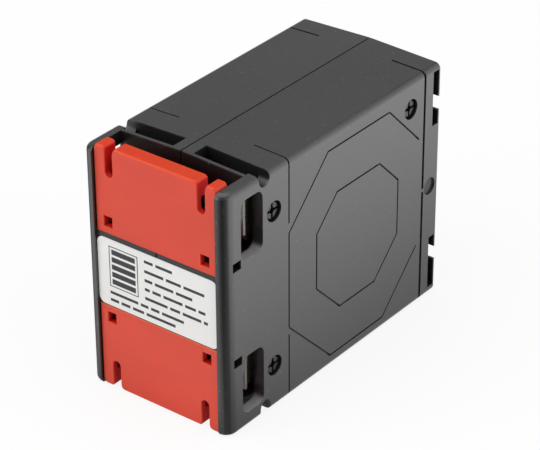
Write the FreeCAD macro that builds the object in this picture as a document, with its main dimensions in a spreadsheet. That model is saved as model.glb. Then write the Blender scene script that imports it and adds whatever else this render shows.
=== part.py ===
import FreeCAD, Part
import math
import os
import re
import Sketcher
from FreeCAD import Placement, Rotation, Vector

# A small wound-primary current transformer in a two-piece moulded case.
# Frame: X across the width, Y from the front (-) to the rear (+), Z up, in millimetres.
# The origin is under the middle of the case, on the surface it stands on.
# The case is split at X = 0. The toroidal coil inside has its axis along X.

# Driving dimensions, one sheet row each.
SIZES = {
    # Case
    "case_width": 40.0,
    "case_depth": 79.5,
    "case_height": 62.0,
    "top_draft": 0.7,
    "edge_radius": 1.5,
    "rear_radius": 0.4,
    "bezel_radius": 3.0,
    "seam_wide": 0.17,
    "seam_deep": 0.7,
    "cheek": 2.9,
    "side_wall": 2.4,
    # Front band and covers, which mirror each other about a line just above mid height
    "front_recess": 0.8,
    "cover_rise": 0.2,
    "ledge": 1.3,
    "cover_gap": 0.1,
    "cover_side_gap": 0.25,
    "cover_past": 0.1,
    "cover_length": 21.65,
    "cover_plate": 1.5,
    "cover_rim": 3.85,
    "rim_height": 4.2,
    "flange_thick": 1.2,
    "flange_deep": 4.9,
    "arm_slit": 1.0,
    "cover_corner": 0.8,
    "cover_chamfer": 0.35,
    "slot_offset": 12.9,
    "slot_width": 2.3,
    "slot_length": 7.3,
    "hole_offset": 13.65,
    "hole_wide": 2.5,
    "hole_tall": 2.7,
    "hole_inset": 3.0,
    "arm_thick": 1.6,
    "arm_tall": 2.6,
    "lug_inset": 2.75,
    "lug_proud": 0.15,
    "lug_tall": 0.7,
    "lug_long": 1.3,
    "lug_clearance": 0.2,
    # Terminal chambers, given from the front plane and from the case's top and bottom
    "chamber_back": 14.3,
    "end_wall": 5.0,
    "chamber_wall": 2.0,
    "mouth_back": 9.95,
    "barrier_thick": 1.0,
    "barrier_front": 7.2,
    "barrier_end_gap": 2.0,
    # Side windows and snap slots
    "window_front": 5.25,
    "window_long": 7.55,
    "window_end": 3.9,
    "window_tall": 14.9,
    "window_radius": 2.1,
    "snap_front": 2.45,
    "snap_long": 2.7,
    "snap_tall": 2.2,
    "snap_drop": 0.3,
    # Cross pockets in the top and the bottom
    "pocket_front": 10.75,
    "pocket_long": 4.5,
    "pocket_deep": 3.7,
    "pocket_inner": 2.8,
    "notch_inset": 0.85,
    "notch_long": 3.7,
    # Rear T-slots for mounting feet
    "tee_deep": 2.9,
    "tee_lip": 0.65,
    "tee_inner": 15.0,
    "tee_tall": 14.0,
    "mouth_inner": 18.4,
    "mouth_tall": 3.6,
    # Coil room, lead room and hollow corners
    "coil_y": 7.9,
    "coil_drop": 1.0,
    "cavity_flats": 49.0,
    "room_wall": 2.0,
    "lead_room_past": 2.3,
    "lead_gate_half": 6.0,
    "corner_leg": 15.5,
    "corner_skin": 2.5,
    # Grooves in the faces
    "groove_width": 0.42,
    "groove_deep": 0.6,
    "rear_groove_width": 0.8,
    "roof_groove_inner": 10.5,
    "roof_groove_rear_width": 0.6,
    "large_wide": 51.3,
    "large_tall": 53.9,
    "large_corner_top": 14.1,
    "large_corner_bottom": 15.4,
    "large_stop": 2.0,
    "small_wide": 31.1,
    "small_tall": 30.6,
    "small_corner_top": 7.5,
    "small_corner_bottom": 8.8,
    "break_above": 15.35,
    "break_below": 13.35,
    "rear_break": 0.8,
    "dimple_inset": 3.35,
    "dimple_drop": 0.7,
    "dimple_radius": 2.2,
    "dimple_deep": 0.5,
    # Snap posts that hold the halves together
    "post_front": 16.75,
    "post_end": 11.2,
    "rear_post_inset": 11.75,
    "rear_post_drop": 7.85,
    "post_radius": 1.6,
    "post_clearance": 0.08,
    "post_root": 2.0,
    "barb_radius": 1.95,
    "barb_long": 1.5,
    "post_hollow": 0.75,
    "slit_wide": 0.6,
    "slit_deep": 5.3,
    "recess_radius": 2.5,
    "recess_deep": 2.2,
    # Terminals
    "terminal_end": 11.1,
    "plate_wide": 6.0,
    "plate_thick": 1.3,
    "plate_below": 7.2,
    "plate_above": 4.7,
    "tail_wide": 4.0,
    "tail_long": 5.6,
    "tail_clearance": 0.1,
    "clamp_wide": 9.0,
    "clamp_side_gap": 0.35,
    "clamp_tall": 8.6,
    "clamp_thick": 0.6,
    "clamp_stand": 2.2,
    "screw_radius": 1.95,
    "screw_clearance": 0.08,
    "screw_long": 4.3,
    "screw_well_radius": 2.4,
    "screw_well": 0.5,
    "head_radius": 4.0,
    "head_tall": 2.8,
    "drive_wide": 1.0,
    "drive_deep": 1.3,
    "drive_half": 2.4,
    # Label
    "label_side_gap": 0.1,
    "label_low_gap": 0.3,
    "label_high_gap": 1.15,
    "label_thick": 0.15,
    "label_radius": 1.7,
    # Core and windings, from the coil room inward
    "coil_clearance": 0.2,
    "coil_end_gap": 2.3,
    "primary_thick": 1.9,
    "primary_base": 0.6,
    "primary_turn_wide": 3.4,
    "primary_turns": 10,
    "tape_thick": 0.4,
    "secondary_thick": 1.2,
    "secondary_creases": 30,
    "crease_radius": 0.5,
    "wrap_thick": 0.5,
    "layer_gap": 0.05,
    "core_inner": 15.6,
    "core_corner": 0.6,
    # Leads
    "primary_lead_radius": 1.2,
    "secondary_lead_radius": 0.9,
    "lead_bend": 2.6,
    "lead_inset": 1.5,
    "lead_level": 3.0,
    "lead_gap": 0.3,
    # How far cutting outlines run past the faces they open, and pads run into their walls
    "run_past": 1.0,
    "root_bite": 0.5,
}

UPPER = 1
LOWER = -1
RIGHT = 1
LEFT = -1

# Places that several pieces share, as sheet formulas.
FRONT = "(0-case_depth/2)"
REAR = "(case_depth/2)"
MID = "(case_height/2)"
SIDE = "(case_width/2)"
BAY = "(case_width/2-cheek)"
COVER_FRONT = f"({FRONT}+front_recess)"
CHAMBER_BACK = f"({FRONT}+chamber_back)"
MOUTH_BACK = f"({FRONT}+mouth_back)"
COVER_MID = f"({MID}+cover_rise)"
COVER_WIDE = f"({BAY}-cover_side_gap)"
COVER_EDGE = f"({MID}+cover_past-cover_length)"
BAND_EDGE = f"({COVER_EDGE}-cover_gap)"
CHAMBER_OUTER = f"({MID}-end_wall)"
TERMINAL_X = f"({BAY}-clamp_side_gap-clamp_wide/2)"
TERMINAL_RISE = f"({MID}-terminal_end)"
PLATE_FOOT = f"({TERMINAL_RISE}-plate_below)"
CLAMP_BACK = f"({CHAMBER_BACK}-plate_thick-clamp_stand)"
COIL_Z = f"({MID}-coil_drop)"
ROOM_FRONT = "(coil_y-cavity_flats/2)"
LEAD_FRONT = f"({CHAMBER_BACK}+chamber_wall)"
LEAD_BACK = f"({ROOM_FRONT}-room_wall)"
OUTSIDE = "case_height/2+run_past"

# The plane each sketch lies on, and the sign of its normal along its own axis.
PLANES = {"XY_Plane": 1, "XZ_Plane": -1, "YZ_Plane": 1}

doc = FreeCAD.newDocument("CurrentTransformer")
sheet = doc.addObject("Spreadsheet::Sheet", "Sizes")
for row, (alias, value) in enumerate(SIZES.items(), start=1):
    sheet.set(f"A{row}", alias)
    sheet.set(f"B{row}", str(value))
    sheet.setAlias(f"B{row}", alias)
doc.recompute()


def size(alias):
    """The sheet's value of one driving dimension."""
    return float(sheet.get(alias))


def linked(formula):
    """A formula in size names, as an expression that reads the sheet."""
    return re.sub(r"[a-z][a-z_]+", lambda word: named_cell(word.group(0)), formula)


def named_cell(word):
    return f"Sizes.{word}" if word in SIZES else word


def bind(thing, **formulas):
    """Ties properties to the sheet: Length="cheek", or Placement__Base__x="case_width/2"."""
    for name, formula in formulas.items():
        thing.setExpression(name.replace("__", "."), linked(formula))


def above(distance, end):
    """A height that is mirrored about mid height for the lower end."""
    return f"({MID}+({end})*({distance}))"


def new_body(name):
    return doc.addObject("PartDesign::Body", name)


def origin_plane(body, role):
    """A plane or an axis of the body's own origin."""
    return next(one for one in body.Origin.OriginFeatures if one.Role == role)


def new_sketch(body, name, role, level):
    """An empty sketch on one of the body's origin planes, moved to the given level."""
    sketch = body.newObject("Sketcher::SketchObject", name)
    sketch.AttachmentSupport = [(origin_plane(body, role), "")]
    sketch.MapMode = "FlatFace"
    bind(sketch, AttachmentOffset__Base__z=f"({PLANES[role]})*({level})")
    return sketch


def add_polygon(sketch, corners):
    """A closed outline whose corners are pairs of formulas."""
    first = sketch.GeometryCount
    count = len(corners)
    spots = [
        Vector(math.cos(2 * math.pi * turn / count), math.sin(2 * math.pi * turn / count), 0) * 10
        for turn in range(count)
    ]
    for turn in range(count):
        sketch.addGeometry(Part.LineSegment(spots[turn], spots[(turn + 1) % count]), False)
    for turn in range(count):
        following = first + (turn + 1) % count
        sketch.addConstraint(Sketcher.Constraint("Coincident", first + turn, 2, following, 1))
    for turn, (across, up) in enumerate(corners):
        add_place(sketch, first + turn, 1, spots[turn], across, up)


def add_place(sketch, geometry, point, spot, across, up):
    """Ties one point of the sketch to two formulas, measured from its origin."""
    for kind, start, formula in (("DistanceX", spot.x, across), ("DistanceY", spot.y, up)):
        index = sketch.addConstraint(Sketcher.Constraint(kind, -1, 1, geometry, point, start))
        sketch.setExpression(f"Constraints[{index}]", linked(formula))


def add_circle(sketch, across, up, radius):
    """A circle whose centre and radius are formulas."""
    spot = Vector(5, 5, 0)
    index = sketch.addGeometry(Part.Circle(spot, Vector(0, 0, 1), 2), False)
    add_place(sketch, index, 3, spot, across, up)
    held = sketch.addConstraint(Sketcher.Constraint("Radius", index, 2))
    sketch.setExpression(f"Constraints[{held}]", linked(radius))


def rectangle(across_low, across_high, up_low, up_high):
    return [
        (across_low, up_low),
        (across_high, up_low),
        (across_high, up_high),
        (across_low, up_high),
    ]


def finish_feature(feature, removes):
    """Recomputes and makes sure that a cut cut something and a pad added something."""
    body = feature.getParentGeoFeatureGroup()
    before = body.Shape.Volume if not body.Shape.isNull() else 0.0
    doc.recompute()
    change = feature.Shape.Volume - before
    if (removes and change > -1e-4) or (not removes and change < 1e-4):
        raise ValueError(f"{feature.Name} in {body.Name} changed nothing")
    return feature


def pad(sketch, name, length, toward):
    """Adds material from the sketch, toward +1 or -1 along the plane's axis."""
    body = sketch.getParentGeoFeatureGroup()
    role = sketch.AttachmentSupport[0][0].Role
    feature = body.newObject("PartDesign::Pad", name)
    feature.Profile = sketch
    feature.Reversed = toward != PLANES[role]
    bind(feature, Length=length)
    return finish_feature(feature, False)


def pocket(sketch, name, length, toward):
    """Cuts from the sketch, toward +1 or -1 along the plane's axis."""
    body = sketch.getParentGeoFeatureGroup()
    role = sketch.AttachmentSupport[0][0].Role
    feature = body.newObject("PartDesign::Pocket", name)
    feature.Profile = sketch
    feature.Reversed = toward == PLANES[role]
    feature.Refine = False
    bind(feature, Length=length)
    return finish_feature(feature, True)


def edges_where(feature, wanted):
    """Names of the feature's edges that the test picks by their bounding box."""
    return [
        f"Edge{index}"
        for index, edge in enumerate(feature.Shape.Edges, start=1)
        if wanted(edge.BoundBox)
    ]


def round_edges(body, name, radius, wanted):
    base = body.Tip
    feature = body.newObject("PartDesign::Fillet", name)
    feature.Base = (base, edges_where(base, wanted))
    bind(feature, Radius=radius)
    doc.recompute()
    return feature


def bevel_edges(body, name, depth, wanted):
    base = body.Tip
    feature = body.newObject("PartDesign::Chamfer", name)
    feature.Base = (base, edges_where(base, wanted))
    bind(feature, Size=depth)
    doc.recompute()
    return feature


def near(one, other):
    return abs(one - other) < 1e-3


# Case halves


def half_block(body):
    """The drafted outside of one half, from the split plane to the side face."""
    profile = new_sketch(body, "BlockProfile", "XZ_Plane", REAR)
    add_polygon(profile, [("0", "0"), (SIDE, "0"), (SIDE, "case_height-top_draft"), ("0", "case_height")])
    pad(profile, "Block", "case_depth", -1)
    side = size("case_width") / 2
    front = -size("case_depth") / 2
    round_edges(
        body,
        "BezelRound",
        "bezel_radius",
        lambda box: near(box.XMin, side) and near(box.YMax, front),
    )
    roof = size("case_height") - size("top_draft")

    def outer_edge(box):
        on_rear = near(box.YMin, -front)
        on_bottom = near(box.ZMax, 0)
        on_top = box.ZMin > roof - 1e-3
        return not near(box.XMax, 0) and not on_rear and (on_bottom or on_top)

    round_edges(body, "OuterRound", "edge_radius", outer_edge)

    def rear_edge(box):
        return near(box.YMin, -front) and not near(box.XMax, 0)

    round_edges(body, "RearRound", "rear_radius", rear_edge)


def front_bays(body):
    """The recess between the cheeks, the two terminal chambers and their cover seats."""
    recess = new_sketch(body, "FrontRecess", "XY_Plane", "case_height")
    add_polygon(recess, rectangle("0-run_past", BAY, f"{FRONT}-run_past", COVER_FRONT))
    pocket(recess, "FrontRecessCut", "case_height", -1)
    for end, word in ((UPPER, "Upper"), (LOWER, "Lower")):
        outside = above(OUTSIDE, end)
        seat_edge = f"({COVER_MID}+({end})*{BAND_EDGE})"
        floor = f"({COVER_MID}+({end})*({BAND_EDGE}+ledge))"
        seat = new_sketch(body, f"{word}Seat", "YZ_Plane", "0")
        add_polygon(
            seat,
            [
                (f"{COVER_FRONT}-run_past", seat_edge),
                (f"{COVER_FRONT}+cover_plate+cover_gap", seat_edge),
                (f"{COVER_FRONT}+cover_plate+cover_gap", floor),
                (CHAMBER_BACK, floor),
                (CHAMBER_BACK, above(CHAMBER_OUTER, end)),
                (MOUTH_BACK, above(CHAMBER_OUTER, end)),
                (MOUTH_BACK, outside),
                (f"{COVER_FRONT}-run_past", outside),
            ],
        )
        pocket(seat, f"{word}Chamber", BAY, 1)
        wall = new_sketch(body, f"{word}Barrier", "YZ_Plane", "0")
        add_polygon(
            wall,
            rectangle(
                f"{FRONT}+barrier_front",
                f"{CHAMBER_BACK}+root_bite",
                f"{floor}-({end})*root_bite",
                above(f"{CHAMBER_OUTER}-barrier_end_gap", end),
            ),
        )
        pad(wall, f"{word}BarrierWall", "barrier_thick", 1)


def side_windows(body):
    """Side windows of the chambers and snap slots, cut in the cheek while it is still plain."""
    for end, word in ((UPPER, "Upper"), (LOWER, "Lower")):
        window = new_sketch(body, f"{word}Window", "YZ_Plane", SIDE)
        add_polygon(
            window,
            rectangle(
                f"{FRONT}+window_front",
                f"{FRONT}+window_front+window_long",
                above(f"{MID}-window_end-window_tall", end),
                above(f"{MID}-window_end", end),
            ),
        )
        pocket(window, f"{word}WindowCut", "cheek", -1)
    first = -size("case_depth") / 2 + size("window_front")
    last = first + size("window_long")
    inside = size("case_width") / 2 - size("cheek")

    def window_corner(box):
        along_x = near(box.XMin, inside) and box.YLength < 1e-3 and box.ZLength < 1e-3
        return along_x and (near(box.YMin, first) or near(box.YMin, last))

    round_edges(body, "WindowRound", "window_radius", window_corner)
    for end, word in ((UPPER, "Upper"), (LOWER, "Lower")):
        snap = new_sketch(body, f"{word}Snap", "YZ_Plane", SIDE)
        add_polygon(
            snap,
            rectangle(
                f"{FRONT}+snap_front",
                f"{FRONT}+snap_front+snap_long",
                f"{lug_height(end)}-snap_drop-snap_tall/2",
                f"{lug_height(end)}-snap_drop+snap_tall/2",
            ),
        )
        pocket(snap, f"{word}SnapCut", "cheek", -1)


def lug_height(end):
    """The height of the snap lugs and their slots."""
    return f"({COVER_MID}+({end})*({COVER_EDGE}+lug_inset))"


def cross_pockets(body):
    """Cross pockets in the top and the bottom, each with a round-ended notch in the cheek."""
    for end, word in ((UPPER, "Upper"), (LOWER, "Lower")):
        trough = new_sketch(body, f"{word}Trough", "YZ_Plane", "pocket_inner")
        floor = above("case_height/2-pocket_deep", end)
        outside = above(OUTSIDE, end)
        first = f"{FRONT}+pocket_front"
        add_polygon(trough, rectangle(first, f"{first}+pocket_long", floor, outside))
        pocket(trough, f"{word}TroughCut", f"{BAY}-pocket_inner", 1)
        notch = new_sketch(body, f"{word}Notch", "YZ_Plane", SIDE)
        first = f"{FRONT}+pocket_front+notch_inset"
        shoulder = above("case_height/2-pocket_deep+notch_long/2", end)
        add_polygon(notch, rectangle(first, f"{first}+notch_long", shoulder, outside))
        pocket(notch, f"{word}NotchCut", "cheek+root_bite", -1)
        root = new_sketch(body, f"{word}NotchRoot", "YZ_Plane", SIDE)
        add_circle(root, f"{first}+notch_long/2", shoulder, "notch_long/2")
        pocket(root, f"{word}NotchRootCut", "cheek+root_bite", -1)


def rear_tees(body):
    """T-slots across the rear face, for feet that slide in from the side."""
    for end, word in ((UPPER, "Upper"), (LOWER, "Lower")):
        tee = new_sketch(body, f"{word}Tee", "YZ_Plane", SIDE)
        lip = f"({REAR}-tee_lip)"
        deep = f"({REAR}-tee_deep)"
        inner = above("tee_inner", end)
        outer = above("tee_inner+tee_tall", end)
        mouth_low = above("mouth_inner", end)
        mouth_high = above("mouth_inner+mouth_tall", end)
        add_polygon(
            tee,
            [
                (deep, inner),
                (lip, inner),
                (lip, mouth_low),
                (f"{REAR}+run_past", mouth_low),
                (f"{REAR}+run_past", mouth_high),
                (lip, mouth_high),
                (lip, outer),
                (deep, outer),
            ],
        )
        pocket(tee, f"{word}TeeCut", SIDE, -1)


def octagon(centre_y, centre_z, wide, tall, corner_top, corner_bottom, grow):
    """Corners of an octagon, counterclockwise from its right side, all its flats moved by grow."""
    left = f"({centre_y}-({wide})/2-({grow}))"
    right = f"({centre_y}+({wide})/2+({grow}))"
    low = f"({centre_z}-({tall})/2-({grow}))"
    high = f"({centre_z}+({tall})/2+({grow}))"
    top = f"({corner_top}+({grow})*(2-sqrt(2)))"
    bottom = f"({corner_bottom}+({grow})*(2-sqrt(2)))"
    return [
        (right, f"{high}-{top}"),
        (f"{right}-{top}", high),
        (f"{left}+{top}", high),
        (left, f"{high}-{top}"),
        (left, f"{low}+{bottom}"),
        (f"{left}+{bottom}", low),
        (f"{right}-{bottom}", low),
        (right, f"{low}+{bottom}"),
    ]


def coil_room(body):
    """The octagonal room of the coil, the room of the leads and the hollow corners."""
    room = new_sketch(body, "CoilRoom", "YZ_Plane", "0")
    corner = "(cavity_flats*(1-1/sqrt(2)))"
    add_polygon(room, octagon("coil_y", COIL_Z, "cavity_flats", "cavity_flats", corner, corner, "0"))
    pocket(room, "CoilRoomCut", f"{SIDE}-side_wall", 1)
    leads = new_sketch(body, "LeadRoom", "YZ_Plane", "0")
    inside = f"{ROOM_FRONT}+run_past"
    add_polygon(
        leads,
        [
            (LEAD_FRONT, f"{MID}-{PLATE_FOOT}-lead_room_past"),
            (LEAD_BACK, f"{MID}-{PLATE_FOOT}-lead_room_past"),
            (LEAD_BACK, f"{COIL_Z}-lead_gate_half"),
            (inside, f"{COIL_Z}-lead_gate_half"),
            (inside, f"{COIL_Z}+lead_gate_half"),
            (LEAD_BACK, f"{COIL_Z}+lead_gate_half"),
            (LEAD_BACK, f"{MID}+{PLATE_FOOT}+lead_room_past"),
            (LEAD_FRONT, f"{MID}+{PLATE_FOOT}+lead_room_past"),
        ],
    )
    pocket(leads, "LeadRoomCut", BAY, 1)
    roof = "(case_height-corner_skin)"
    fore = ROOM_FRONT
    rear = f"({REAR}-tee_deep-room_wall)"
    corners = {
        "FrontTop": [(fore, roof), (fore, f"{roof}-corner_leg"), (f"{fore}+corner_leg", roof)],
        "FrontBottom": [
            (fore, "corner_skin"),
            (f"{fore}+corner_leg", "corner_skin"),
            (fore, "corner_skin+corner_leg"),
        ],
        "RearBottom": [
            (rear, "corner_skin"),
            (rear, "corner_skin+corner_leg"),
            (f"{rear}-corner_leg", "corner_skin"),
        ],
    }
    for word, outline in corners.items():
        hollow = new_sketch(body, f"{word}Hollow", "YZ_Plane", "0")
        add_polygon(hollow, outline)
        pocket(hollow, f"{word}HollowCut", BAY, 1)


def tail_gates(body):
    """Slots through the chamber walls for the terminal tails, and wells for the screw ends."""
    for end, word in ((UPPER, "Upper"), (LOWER, "Lower")):
        gate = new_sketch(body, f"{word}Gate", "XZ_Plane", CHAMBER_BACK)
        half = "(tail_wide/2+tail_clearance)"
        add_polygon(
            gate,
            rectangle(
                f"{TERMINAL_X}-{half}",
                f"{TERMINAL_X}+{half}",
                above(f"{PLATE_FOOT}-tail_clearance", end),
                above(f"{PLATE_FOOT}+plate_thick+tail_clearance", end),
            ),
        )
        pocket(gate, f"{word}GateCut", "chamber_wall+root_bite", 1)
        well = new_sketch(body, f"{word}Well", "XZ_Plane", CHAMBER_BACK)
        add_circle(well, TERMINAL_X, above(TERMINAL_RISE, end), "screw_well_radius")
        pocket(well, f"{word}WellCut", "screw_well", 1)


def face_grooves(body):
    """Fine grooves in the side face: two octagons and two upright lines."""
    grooves = new_sketch(body, "SideGrooves", "YZ_Plane", SIDE)
    large = ("coil_y", COIL_Z, "large_wide", "large_tall", "large_corner_top", "large_corner_bottom")
    outer = octagon(*large, "groove_width/2")
    inner = octagon(*large, "0-groove_width/2")
    stop = "(coil_y+large_wide/2-large_stop)"
    add_polygon(
        grooves,
        [diagonal_end(outer[1], stop, -1)]
        + outer[1:7]
        + [diagonal_end(outer[6], stop, 1), diagonal_end(inner[6], stop, 1)]
        + inner[6:0:-1]
        + [diagonal_end(inner[1], stop, -1)],
    )
    small = ("coil_y", COIL_Z, "small_wide", "small_tall", "small_corner_top", "small_corner_bottom")
    add_polygon(grooves, octagon(*small, "groove_width/2"))
    add_polygon(grooves, octagon(*small, "0-groove_width/2"))
    front_low = "coil_y-large_wide/2-groove_width/2"
    front_high = "coil_y-large_wide/2+groove_width/2"
    rear_low = "coil_y+large_wide/2-rear_groove_width/2"
    rear_high = "coil_y+large_wide/2+rear_groove_width/2"
    top = "case_height+run_past"
    bottom = "0-run_past"
    add_polygon(grooves, rectangle(front_low, front_high, f"{COIL_Z}+break_above", top))
    add_polygon(grooves, rectangle(front_low, front_high, bottom, f"{COIL_Z}-break_below"))
    add_polygon(grooves, rectangle(rear_low, rear_high, f"{COIL_Z}+rear_break", top))
    add_polygon(grooves, rectangle(rear_low, rear_high, bottom, COIL_Z))
    pocket(grooves, "SideGroovesCut", "groove_deep", -1)


def diagonal_end(corner, stop, rise):
    """Where a 45 degree groove line from a corner reaches the given depth."""
    across, up = corner
    return (stop, f"({up})+({rise})*({stop}-({across}))")


def roof_grooves(body):
    """Cross grooves that carry the side grooves over the top and under the bottom."""
    for end, word in ((UPPER, "Upper"), (LOWER, "Lower")):
        floor = "case_height-top_draft-groove_deep" if end == UPPER else "groove_deep"
        cross = new_sketch(body, f"{word}CrossGrooves", "XY_Plane", floor)
        lines = ((-1, "groove_width"), (1, "roof_groove_rear_width"))
        for toward, wide in lines:
            line = f"coil_y+({toward})*large_wide/2"
            edges = (f"{line}-{wide}/2", f"{line}+{wide}/2")
            add_polygon(cross, rectangle("roof_groove_inner", f"{SIDE}+run_past", *edges))
        pocket(cross, f"{word}CrossGroovesCut", "top_draft+groove_deep+run_past", end)


def side_dimple(body):
    """The shallow round mark beside the rear edge."""
    mark = new_sketch(body, "Dimple", "YZ_Plane", SIDE)
    add_circle(mark, f"{REAR}-dimple_inset", f"{MID}-dimple_drop", "dimple_radius")
    pocket(mark, "DimpleCut", "dimple_deep", -1)


def seam_rebate(body):
    """A narrow rebate round the split plane, which makes the seam a fine dark line."""
    outline = new_sketch(body, "SeamOutline", "YZ_Plane", "0")
    add_polygon(
        outline,
        rectangle(f"{FRONT}-run_past", f"{REAR}+run_past", "0-run_past", "case_height+run_past"),
    )
    add_polygon(
        outline,
        rectangle(
            f"{COVER_FRONT}+seam_deep", f"{REAR}-seam_deep", "seam_deep", "case_height-seam_deep"
        ),
    )
    pocket(outline, "SeamOutlineCut", "seam_wide", 1)
    for end, word in ((UPPER, "Upper"), (LOWER, "Lower")):
        mouth = new_sketch(body, f"{word}MouthSeam", "YZ_Plane", "0")
        edges = (f"{MOUTH_BACK}-run_past", f"{MOUTH_BACK}+seam_deep")
        add_polygon(mouth, rectangle(*edges, above(CHAMBER_OUTER, end), above(OUTSIDE, end)))
        pocket(mouth, f"{word}MouthSeamCut", "seam_wide", 1)


def half_shell():
    body = new_body("HalfShell")
    half_block(body)
    side_windows(body)
    front_bays(body)
    cross_pockets(body)
    rear_tees(body)
    coil_room(body)
    tail_gates(body)
    face_grooves(body)
    roof_grooves(body)
    side_dimple(body)
    seam_rebate(body)
    return body


POSTS = {
    "FrontUpper": (f"{FRONT}+post_front", "(case_height-post_end)"),
    "FrontLower": (f"{FRONT}+post_front", "post_end"),
    "RearUpper": (f"({REAR}-rear_post_inset)", "(case_height-rear_post_drop)"),
}


def rod(name, radius, length, start, along_y, along_z):
    """A round bar along X."""
    bar = doc.addObject("Part::Cylinder", name)
    bar.Placement = Placement(Vector(), Rotation(Vector(0, 1, 0), 90))
    bind(
        bar,
        Radius=radius,
        Height=length,
        Placement__Base__x=start,
        Placement__Base__y=along_y,
        Placement__Base__z=along_z,
    )
    return bar


def joined(name, pieces):
    """Several objects fused into one."""
    fuse = doc.addObject("Part::MultiFuse", name)
    fuse.Shapes = pieces
    return fuse


def cut(name, base, tool):
    result = doc.addObject("Part::Cut", name)
    result.Base = base
    result.Tool = tool
    return result


def block(name, low, high):
    """A box between two corners given as formulas."""
    box = doc.addObject("Part::Box", name)
    sides = ("Length", "Width", "Height")
    axes = ("x", "y", "z")
    for side, axis, start, stop in zip(sides, axes, low, high):
        box.setExpression(f"Placement.Base.{axis}", linked(start))
        box.setExpression(side, linked(f"({stop})-({start})"))
    return box


def case_right(shell):
    """The right half, bored for the snap posts of the left one."""
    bores = []
    for word, (along_y, along_z) in POSTS.items():
        radius = "post_radius+post_clearance"
        bores.append(rod(f"{word}Bore", radius, SIDE, "0", along_y, along_z))
        start = f"{SIDE}-recess_deep"
        deep = "recess_deep+run_past"
        bores.append(rod(f"{word}Recess", "recess_radius", deep, start, along_y, along_z))
    return cut("CaseRight", shell, joined("PostBores", bores))


def case_left(shell):
    """The left half, a mirror of the right one with three hollow, split snap posts moulded on."""
    mirror = doc.addObject("Part::Mirroring", "MirroredShell")
    mirror.Source = shell
    mirror.Normal = Vector(1, 0, 0)
    posts = []
    slits = []
    for word, (along_y, along_z) in POSTS.items():
        shoulder = f"{SIDE}-recess_deep+post_clearance"
        whole = f"{shoulder}+post_root"
        posts.append(rod(f"{word}Post", "post_radius", whole, "0-post_root", along_y, along_z))
        posts.append(rod(f"{word}Barb", "barb_radius", "barb_long", shoulder, along_y, along_z))
        inner = f"{SIDE}-slit_deep"
        slits.append(rod(f"{word}Hollow", "post_hollow", "slit_deep", inner, along_y, along_z))
        reach = {"Level": ("recess_radius", "slit_wide/2"), "Upright": ("slit_wide/2", "recess_radius")}
        for turn, (wide, tall) in reach.items():
            low = (inner, f"{along_y}-{wide}", f"{along_z}-{tall}")
            high = (SIDE, f"{along_y}+{wide}", f"{along_z}+{tall}")
            slits.append(block(f"{word}{turn}Slit", low, high))
    split = cut("SplitPosts", joined("Posts", posts), joined("Slits", slits))
    return joined("CaseLeft", [mirror, split])


# Terminal covers and label


def terminal_cover(end, word):
    """A push-in cover: plate, deep rim and flanges, two probe slots, two sprung arms with lugs."""
    body = new_body(f"{word}Cover")
    wide = COVER_WIDE
    inner = f"({COVER_MID}+({end})*{COVER_EDGE})"
    outer = f"({COVER_MID}+({end})*({COVER_EDGE}+cover_length))"
    plate = new_sketch(body, "Plate", "XZ_Plane", COVER_FRONT)
    add_polygon(plate, rectangle(f"0-{wide}", wide, inner, outer))
    pad(plate, "PlatePad", "cover_plate", 1)
    rim = new_sketch(body, "Rim", "XZ_Plane", COVER_FRONT)
    add_polygon(rim, rectangle(f"0-{wide}", wide, f"{outer}-({end})*rim_height", outer))
    pad(rim, "RimPad", "cover_rim", 1)
    lug = lug_height(end)
    arms = new_sketch(body, "Arms", "XZ_Plane", COVER_FRONT)
    flanges = new_sketch(body, "Flanges", "XZ_Plane", COVER_FRONT)
    lugs = new_sketch(body, "Lugs", "XZ_Plane", f"{FRONT}+snap_front+lug_clearance")
    for side in (RIGHT, LEFT):
        edge = f"({side})*{wide}"
        add_polygon(
            arms,
            rectangle(f"({side})*({wide}-arm_thick)", edge, f"{lug}-arm_tall/2", f"{lug}+arm_tall/2"),
        )
        past_arm = f"{lug}+({end})*(arm_tall/2+arm_slit)"
        into_rim = f"{outer}-({end})*rim_height/2"
        add_polygon(flanges, rectangle(f"({side})*({wide}-flange_thick)", edge, past_arm, into_rim))
        tip = f"({side})*({wide}+lug_proud)"
        root = f"({side})*({wide}-arm_thick/2)"
        add_polygon(lugs, rectangle(root, tip, f"{lug}-lug_tall/2", f"{lug}+lug_tall/2"))
    pad(arms, "ArmPad", "cover_rim", 1)
    pad(flanges, "FlangePad", "flange_deep", 1)
    pad(lugs, "LugPad", "lug_long", 1)
    openings = new_sketch(body, "ProbeSlots", "XZ_Plane", COVER_FRONT)
    roots = new_sketch(body, "SlotRoots", "XZ_Plane", COVER_FRONT)
    holes = new_sketch(body, "ReleaseHoles", "XZ_Plane", COVER_FRONT)
    root_height = f"({outer}-({end})*(slot_length-slot_width/2))"
    hole_height = f"({inner}+({end})*hole_inset)"
    for side in (RIGHT, LEFT):
        middle = f"({side})*slot_offset"
        beyond = f"{outer}+({end})*run_past"
        add_polygon(
            openings,
            rectangle(f"{middle}-slot_width/2", f"{middle}+slot_width/2", root_height, beyond),
        )
        add_circle(roots, middle, root_height, "slot_width/2")
        centre = f"({side})*hole_offset"
        add_polygon(
            holes,
            rectangle(
                f"{centre}-hole_wide/2",
                f"{centre}+hole_wide/2",
                f"{hole_height}-hole_tall/2",
                f"{hole_height}+hole_tall/2",
            ),
        )
    pocket(openings, "ProbeSlotCut", "cover_rim+run_past", 1)
    pocket(roots, "SlotRootCut", "cover_rim+run_past", 1)
    pocket(holes, "ReleaseHoleCut", "cover_rim+run_past", 1)
    ease_cover_edges(body, end)
    return body


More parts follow.
